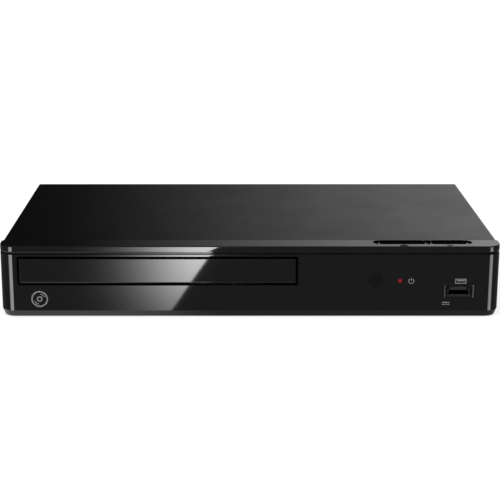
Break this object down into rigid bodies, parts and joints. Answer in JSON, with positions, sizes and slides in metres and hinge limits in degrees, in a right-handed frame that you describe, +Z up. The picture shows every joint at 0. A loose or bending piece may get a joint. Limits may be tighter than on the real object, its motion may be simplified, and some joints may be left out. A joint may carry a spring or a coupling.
{
  "type": "disc player",
  "caption": "Low flat black disc player with a drawer on the left of its front, a small port and lamp on the right, two keys on its top edge and sockets at the rear.",
  "frame": {"origin": "on the table under the middle of the whole player's box", "axes": "+X across to the viewer's right, +Y from the front face to the rear, +Z up"},
  "size_m": [0.312, 0.1816, 0.046],
  "materials": {
    "cover_paint": "satin black powder coat",
    "panel_gloss": "polished black moulding",
    "key_plastic": "black key caps",
    "steel": "zinc-plated sheet",
    "screw_steel": "black oxide",
    "bright_steel": "ground and polished",
    "foot_rubber": "matte",
    "board_green": "solder mask",
    "chip_black": "moulded epoxy",
    "sink_metal": "extruded",
    "capacitor_sleeve": "shrink sleeve",
    "ferrite": "sintered",
    "coil_tape": "polyester tape",
    "film_clear": "thin film",
    "connector_plastic": "moulded",
    "socket_ivory": "moulded",
    "ribbon_white": "laminated strip",
    "loader_plastic": "moulded black",
    "gear_plastic": "moulded acetal",
    "motor_rotor_metal": "turned",
    "pickup_metal": "die cast",
    "lens_clear": "coated",
    "lamp_red": "clear red"
  },
  "bodies": {
    "chassis": {"front_panel": "panel_gloss", "top_strip": "panel_gloss", "ir_window": "panel_gloss", "light_guide": "lamp_red", "top_cover": "cover_paint", "bottom_chassis": "steel", "rear_panel": "cover_paint", "rubber_feet": "foot_rubber", "case_screws": "screw_steel", "board_screws": "screw_steel", "loader_screws": "screw_steel", "main_board": "board_green", "power_board": "board_green", "front_board": "board_green", "key_board": "board_green", "key_switches": "chip_black", "ir_receiver": "chip_black", "status_lamp": "lamp_red", "usb_shell": "steel", "usb_tongue": "connector_plastic", "hdmi_socket": "steel", "lan_socket": "connector_plastic", "audio_socket": "connector_plastic", "mains_inlet": "connector_plastic", "main_processor": "chip_black", "heat_sink": "sink_metal", "memory_chips": "chip_black", "small_capacitors": "sink_metal", "transformer_core": "ferrite", "transformer_coil": "coil_tape", "large_capacitor": "capacitor_sleeve", "output_capacitors": "capacitor_sleeve", "power_heat_sink": "sink_metal", "insulating_film": "film_clear", "ribbon_sockets": "socket_ivory", "front_ribbon": "ribbon_white", "loader_ribbon": "ribbon_white", "loader_frame": "loader_plastic", "loading_motor": "steel", "drive_belt": "foot_rubber", "clamp_bridge": "steel"},
    "tray": {"disc_tray": "loader_plastic", "tray_door": "panel_gloss"},
    "open_key": {"open_button": "key_plastic"},
    "power_key": {"power_button": "key_plastic"},
    "motor_rotor": {"motor_pulley": "gear_plastic"},
    "pulley_wheel": {"pulley_gear": "gear_plastic"},
    "tray_wheel": {"tray_gear": "gear_plastic"},
    "cam": {"cam_slider": "loader_plastic"},
    "traverse": {"traverse_frame": "loader_plastic", "isolation_bushes": "foot_rubber", "mechanism_plate": "steel", "spindle_motor": "motor_rotor_metal", "guide_rods": "bright_steel", "sled_motor": "steel"},
    "spindle": {"turntable": "motor_rotor_metal"},
    "sled": {"optical_pickup": "pickup_metal"},
    "lens": {"objective_lens": "lens_clear"},
    "sled_screw": {"lead_screw": "bright_steel"},
    "clamper": {"disc_clamper": "gear_plastic"}
  },
  "joints": [
    {"name": "tray_slide", "type": "slide", "parent": "chassis", "child": "tray", "axis": [0, -1, 0], "range_m": [0, 0.128]},
    {"name": "tray_gear_spin", "type": "hinge", "parent": "chassis", "child": "tray_wheel", "pos_m": [-0.0073, -0.0628, 0.0133], "axis": [0, 0, 1], "range_deg": [-612.15, 0]},
    {"name": "pulley_gear_spin", "type": "hinge", "parent": "chassis", "child": "pulley_wheel", "pos_m": [-0.0313, -0.0628, 0.0133], "axis": [0, 0, 1], "range_deg": [0, 1485.23]},
    {"name": "motor_spin", "type": "hinge", "parent": "chassis", "child": "motor_rotor", "pos_m": [-0.0663, -0.0628, 0.0147], "axis": [0, 0, 1], "range_deg": [0, 4783.53]},
    {"name": "cam_slide", "type": "slide", "parent": "chassis", "child": "cam", "axis": [1, 0, 0], "range_m": [0, 0.018]},
    {"name": "traverse_tilt", "type": "hinge", "parent": "chassis", "child": "traverse", "pos_m": [-0.05745, 0.0728, 0.0128], "axis": [1, 0, 0], "range_deg": [0, 3.21]},
    {"name": "spindle_spin", "type": "hinge", "parent": "traverse", "child": "spindle", "pos_m": [-0.05745, -0.0188, 0.03105], "axis": [0, 0, 1], "continuous": true},
    {"name": "sled_slide", "type": "slide", "parent": "traverse", "child": "sled", "axis": [0, 1, 0], "range_m": [0, 0.035]},
    {"name": "lead_screw_spin", "type": "hinge", "parent": "traverse", "child": "sled_screw", "pos_m": [-0.02245, -0.0039, 0.02315], "axis": [0, 1, 0], "range_deg": [-4201, 0]},
    {"name": "lens_focus", "type": "slide", "parent": "sled", "child": "lens", "axis": [0, 0, 1], "range_m": [-0.0004, 0.0004], "stiffness_N_per_m": 60},
    {"name": "clamper_spin", "type": "hinge", "parent": "chassis", "child": "clamper", "pos_m": [-0.05745, -0.0188, 0.03435], "axis": [0, 0, 1], "continuous": true},
    {"name": "open_press", "type": "slide", "parent": "chassis", "child": "open_key", "axis": [0, 0, -1], "range_m": [0, 0.0005], "stiffness_N_per_m": 1500, "springref_m": -0.0002},
    {"name": "power_press", "type": "slide", "parent": "chassis", "child": "power_key", "axis": [0, 0, -1], "range_m": [0, 0.0005], "stiffness_N_per_m": 1500, "springref_m": -0.0002}
  ],
  "couplings": [
    {"joint": "tray_gear_spin", "follows": "tray_slide", "rad_per_m": -83.333},
    {"joint": "pulley_gear_spin", "follows": "tray_slide", "rad_per_m": 202.38},
    {"joint": "motor_spin", "follows": "tray_slide", "rad_per_m": 652.12},
    {"joint": "traverse_tilt", "follows": "cam_slide", "rad_per_m": 3.1028},
    {"joint": "lead_screw_spin", "follows": "sled_slide", "rad_per_m": -2094.4}
  ]
}
